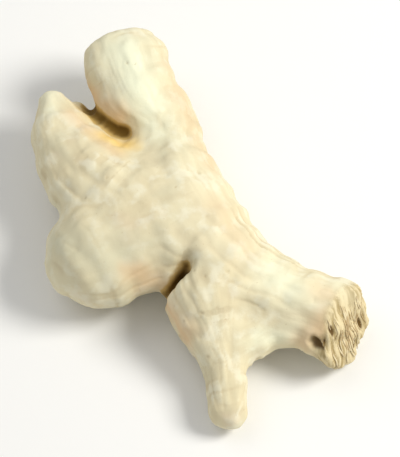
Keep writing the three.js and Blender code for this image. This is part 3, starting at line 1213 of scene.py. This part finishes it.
@dataclass(frozen=True)
class ChalkySkin(PowderyFinish):
    """The finish of the dried skin: cream, dusted with lime, tan in its folds and scars, with painted
    shade in its clefts and hollows and painted light and shade in its strokes.
    """

    name: str = "dried_ginger_skin"
    roughness: float = 0.86
    specular: float = 0.25
    cream: Colour = (0.78, 0.71, 0.49)
    straw: Colour = (0.74, 0.64, 0.41)
    lime: Colour = (0.84, 0.81, 0.64)
    # Lime chalk white, also painted light where the chalk strokes lie.
    chalk_and_light: Colour = (0.87, 0.88, 0.66)
    # Peach tint and painted shade, laid by the blush strokes.
    peach_and_shade: Colour = (0.76, 0.53, 0.30)
    # Grey-green dust in patches, and painted shade where the dust strokes lie.
    dust_and_shade: Colour = (0.58, 0.56, 0.40)
    blush: Colour = (0.76, 0.63, 0.46)
    # Tan of the folds, lines, scars and specks, also laid as painted shade where the skin lies low and
    # round the clefts' ends.
    tan: Colour = (0.46, 0.34, 0.18)
    # Painted shade at the lips of the clefts and hollows.
    amber: Colour = (0.50, 0.32, 0.075)
    honey: Colour = (0.84, 0.60, 0.22)
    # Painted shade deep in the clefts and hollows.
    brown: Colour = (0.145, 0.08, 0.010)
    flesh: Colour = (0.42, 0.32, 0.15)
    strand: Colour = (0.72, 0.61, 0.37)
    # Painted shade in the torn face's pits.
    pit: Colour = (0.13, 0.075, 0.022)
    straw_patches: Patches = Patches(scale=95, detail=3, limits=(0.4, 0.68), share=0.6)
    dust_patches: Patches = Patches(scale=130, detail=3, limits=(0.46, 0.72), share=0.3)
    blush_patches: Patches = Patches(scale=170, detail=2, limits=(0.56, 0.76), share=0.4)
    specks: Patches = Patches(scale=1500, detail=2, limits=(0.7, 0.78), share=0.3)
    lime_cover: Patches = Patches(scale=330, detail=5, limits=(0.42, 0.62), share=0.55)
    lime_worn: float = 0.25
    crease_and_shade_share: float = 0.4
    chalk_and_light_share: float = 0.8
    chalk_and_light_least: float = 0.55
    chalk_and_light_noise: Span = (260, 3)
    dust_and_shade_share: float = 0.7
    peach_and_shade_share: float = 0.8
    scar_and_shade_share: float = 0.6
    streaks: float = 3.0
    torn_chalk_and_light_share: float = 0.6
    pit_range: Span = (0.2, 0.95)
    cleft_noise: Span = (420, 4)
    cleft_shake: float = 0.55
    amber_range: Span = (0.56, 0.84)
    amber_share: float = 0.8
    brown_range: Span = (0.76, 1.3)
    fibre_height: float = 0.4
    fibre_stretch: Spot = (2.4, 2.4, 0.35)

    def colour(self, sheet: NodeSheet, spots: NodeSocket) -> NodeSocket:
        """Lays the torn face's and the clefts' colours over the skin's."""
        skin = self.skin_colour(sheet, spots)
        return self.cleft_colour(sheet, spots, self.torn_colour(sheet, skin))

    def height(self, sheet: NodeSheet) -> NodeSocket:
        """Raises the fine fibres, on the torn face most."""
        raised = sheet.plus(self.fibre_height, sheet.value(Mask.TORN))
        return sheet.times(self.fibre_grain(sheet), raised)

    def skin_colour(self, sheet: NodeSheet, spots: NodeSocket) -> NodeSocket:
        """Colours the open skin: cream, straw and blush in soft patches, lime dust, tan folds and
        painted shade where the skin lies low, and strokes of chalk, peach, dust and scars that are
        partly painted light and shade.

        Args:
            sheet: The material's nodes.
            spots: The coordinates.

        Returns:
            The colour.
        """
        crease_and_shade = sheet.value(Mask.CREASE_AND_SHADE)
        colour = self.straw_patches.lay(sheet, spots, self.cream, self.straw)
        colour = self.dust_patches.lay(sheet, spots, colour, self.dust_and_shade)
        colour = self.blush_patches.lay(sheet, spots, colour, self.blush)
        colour = sheet.mix(sheet.times(crease_and_shade, self.crease_and_shade_share), colour, self.tan)
        lime = self.lime_cover
        cover = sheet.noise(spots, lime.scale, lime.detail)
        cover = sheet.between(sheet.plus(cover, sheet.times(crease_and_shade, -self.lime_worn)), *lime.limits)
        colour = sheet.mix(sheet.times(cover, lime.share), colour, self.lime)
        chalk_and_light = sheet.plus(self.chalk_and_light_least, sheet.noise(spots, *self.chalk_and_light_noise))
        chalk_and_light = sheet.times(sheet.value(Mask.CHALK_AND_LIGHT), chalk_and_light)
        colour = sheet.mix(sheet.times(chalk_and_light, self.chalk_and_light_share), colour, self.chalk_and_light)
        colour = self.tint(sheet, Mask.DUST_AND_SHADE, self.dust_and_shade_share, colour, self.dust_and_shade)
        colour = self.tint(sheet, Mask.BLUSH_AND_SHADE, self.peach_and_shade_share, colour, self.peach_and_shade)
        colour = self.specks.lay(sheet, spots, colour, self.tan)
        return self.tint(sheet, Mask.SCAR_AND_SHADE, self.scar_and_shade_share, colour, self.tan)

    @staticmethod
    def tint(sheet: NodeSheet, mask: Mask, share: float, colour: Given, laid: Colour) -> NodeSocket:
        """Lays a share of one colour over another where a mask is 1."""
        return sheet.mix(sheet.times(sheet.value(mask), share), colour, laid)

    def torn_colour(self, sheet: NodeSheet, colour: Given) -> NodeSocket:
        """Colours the torn face: tan flesh, paler strands and brown painted shade in its pits.

        Args:
            sheet: The material's nodes.
            colour: The skin's colour.

        Returns:
            The colour of both.
        """
        streaks = sheet.times(self.fibre_grain(sheet), self.streaks)
        streaks = sheet.plus(streaks, -0.5 * self.streaks)
        strands = sheet.plus(sheet.value(Mask.STRAND), streaks)
        torn = sheet.mix(strands, self.flesh, self.strand)
        torn = self.tint(sheet, Mask.CHALK_AND_LIGHT, self.torn_chalk_and_light_share, torn, self.cream)
        torn = sheet.mix(sheet.between(sheet.value(Mask.SCAR_AND_SHADE), *self.pit_range), torn, self.pit)
        return sheet.mix(sheet.value(Mask.TORN), colour, torn)

    def cleft_colour(self, sheet: NodeSheet, spots: Given, colour: Given) -> NodeSocket:
        """Paints shade into the clefts and hollows, by how closed in each point is: amber at their
        lips, brown inside.

        Args:
            sheet: The material's nodes.
            spots: The coordinates.
            colour: The colour outside the clefts.

        Returns:
            The colour of all.
        """
        masks = {0: sheet.value(Mask.HOLLOW), 1: sheet.value(Mask.CLEFT)}
        deep = sheet.add("ShaderNodeMath", masks, operation="MAXIMUM").outputs[0]
        colour = sheet.mix(sheet.value(Mask.AMBER), colour, self.honey)
        deep = sheet.plus(deep, sheet.times(sheet.noise(spots, *self.cleft_noise), self.cleft_shake))
        lips = sheet.times(sheet.between(deep, *self.amber_range), self.amber_share)
        colour = sheet.mix(lips, colour, self.amber)
        return sheet.mix(sheet.between(deep, *self.brown_range), colour, self.brown)

    def fibre_grain(self, sheet: NodeSheet) -> NodeSocket:
        """Makes the fine fibres of the skin and the torn face.

        Args:
            sheet: The material's nodes.

        Returns:
            A value from 0 to 1.
        """
        grain = sheet.add("ShaderNodeAttribute", attribute_name=Mask.GRAIN.value).outputs["Vector"]
        stretch = sheet.add("ShaderNodeMapping", {"Vector": grain, "Scale": self.fibre_stretch})
        return sheet.noise(stretch.outputs["Vector"], 1.0, 3)


@dataclass(frozen=True)
class FibreFinish(PowderyFinish):
    """The finish of the torn strands: dry pale fibre, tan in places."""

    name: str = "torn_fibre"
    roughness: float = 0.8
    specular: float = 0.3
    pale: Colour = (0.74, 0.64, 0.42)
    tan: Colour = (0.55, 0.42, 0.23)
    patches: Patches = Patches(scale=420, detail=2, limits=(0.4, 0.62), share=1.0)

    def colour(self, sheet: NodeSheet, spots: NodeSocket) -> NodeSocket:
        """Mixes the pale and the tan fibre."""
        return self.patches.lay(sheet, spots, self.pale, self.tan)

    def height(self, sheet: NodeSheet) -> float:
        """Adds nothing to the powder."""
        return 0.0


@dataclass(frozen=True)
class Light:
    """A soft square light that shines at the root. Its place and side are in metres."""

    name: str
    place: Spot
    side: float
    power: float
    colour: Colour

    def hang(self) -> None:
        """Adds the light to the scene."""
        lamp = bpy.data.lights.new(self.name, "AREA")
        lamp.size = self.side
        lamp.energy = self.power
        lamp.color = self.colour
        holder = bpy.data.objects.new(self.name, lamp)
        holder.location = self.place
        holder.rotation_euler = (-Vector(self.place)).to_track_quat("-Z", "Y").to_euler()
        bpy.context.scene.collection.objects.link(holder)


@dataclass(frozen=True)
class Studio:
    """A plain pale floor, soft lights and a camera that looks down on the root."""

    azimuth: float = 0.0
    elevation: float = 60.0
    lens: float = 300.0
    sensor: float = 36.0
    filled: float = 0.88
    near_clip: float = 0.01
    rounds: int = 12
    floor_size: float = 2.0
    floor_colour: Colour = (0.88, 0.88, 0.87)
    floor_roughness: float = 0.9
    floor_specular: float = 0.1
    key: Light = Light("key", (0.36, 0.0, 0.38), 0.2, 2.3, (1.0, 0.98, 0.93))
    fill: Light = Light("fill", (-0.25, 0.15, 0.42), 0.4, 0.5, (0.98, 0.99, 1.0))
    surround: Colour = (1.0, 0.995, 0.98)
    surround_strength: float = 0.42

    def floor(self) -> Object:
        """Makes the floor.

        Returns:
            The floor, at the height that the root rests on.
        """
        edit = bmesh.new()
        bmesh.ops.create_grid(edit, x_segments=1, y_segments=1, size=self.floor_size)
        floor = add_object("floor", edit)
        material = bpy.data.materials.new("pale_floor")
        material.use_nodes = True
        shader = material.node_tree.nodes["Principled BSDF"]
        shader.inputs["Base Color"].default_value = (*self.floor_colour, 1)
        shader.inputs["Roughness"].default_value = self.floor_roughness
        shader.inputs["Specular IOR Level"].default_value = self.floor_specular
        floor.data.materials.append(material)
        return floor

    def lights(self) -> None:
        """Sets the lights: a key from the upper right, a weak fill and a pale surround."""
        self.key.hang()
        self.fill.hang()
        world = bpy.data.worlds.new("surround")
        world.use_nodes = True
        background = world.node_tree.nodes["Background"]
        background.inputs["Color"].default_value = (*self.surround, 1)
        background.inputs["Strength"].default_value = self.surround_strength
        bpy.context.scene.world = world
        bpy.context.scene.view_settings.view_transform = "Standard"

    def camera(self, points: Points) -> None:
        """Sets the camera so that the root fills the picture.

        Args:
            points: The root's points, in metres.
        """
        turn = math.radians(self.azimuth)
        rise = math.radians(self.elevation)
        level = math.cos(rise)
        back = np.array([math.sin(turn) * level, -math.cos(turn) * level, math.sin(rise)])
        right = np.array([math.cos(turn), math.sin(turn), 0.0])
        up = np.cross(back, right)
        half = np.array(PHOTO_SIZE) / max(PHOTO_SIZE) * self.sensor / 2 / self.lens * self.filled
        flat = np.stack([points @ right, points @ up], axis=1)
        near = (points @ back)[:, None]
        middle = (flat.min(axis=0) + flat.max(axis=0)) / 2
        distance = 1.0
        for _ in range(self.rounds):
            seen = (flat - middle) / (distance - near)
            middle = middle + distance * (seen.min(axis=0) + seen.max(axis=0)) / 2
            distance = (np.abs(flat - middle) / half + near).max()
        data = bpy.data.cameras.new("camera")
        data.lens = self.lens
        data.sensor_width = self.sensor
        data.clip_start = self.near_clip
        camera = bpy.data.objects.new("camera", data)
        camera.location = Vector(middle[0] * right + middle[1] * up + distance * back)
        camera.rotation_euler = Vector(-back).to_track_quat("-Z", "Y").to_euler()
        bpy.context.scene.collection.objects.link(camera)
        bpy.context.scene.camera = camera


def dress(piece: Object, material: Material) -> None:
    """Gives a piece its material and body, and reports it.

    Args:
        piece: The piece.
        material: Its material.
    """
    piece.data.materials.append(material)
    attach(piece, BODY)
    LOG.info("%s: %d faces", piece.name, len(piece.data.polygons))


def main() -> None:
    """Builds the root's skin, its torn strands and the studio, and reports each piece."""
    logging.basicConfig(level=logging.INFO, format="%(name)s: %(message)s")
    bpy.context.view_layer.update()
    neck = TornNeck()
    skin = GingerSkin(SkinRelief(), neck, (NOTCH, SLIT), STROKES).build(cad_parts[NODE])
    dress(skin, ChalkySkin().material())
    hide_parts(NODE)
    strands = BreakStrands(neck).build(skin)
    dress(strands, FibreFinish().material())
    studio = Studio()
    studio.floor()
    studio.lights()
    studio.camera(read_points(skin.data)[0] * MM)
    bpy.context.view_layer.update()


if __name__ == "__main__":
    main()
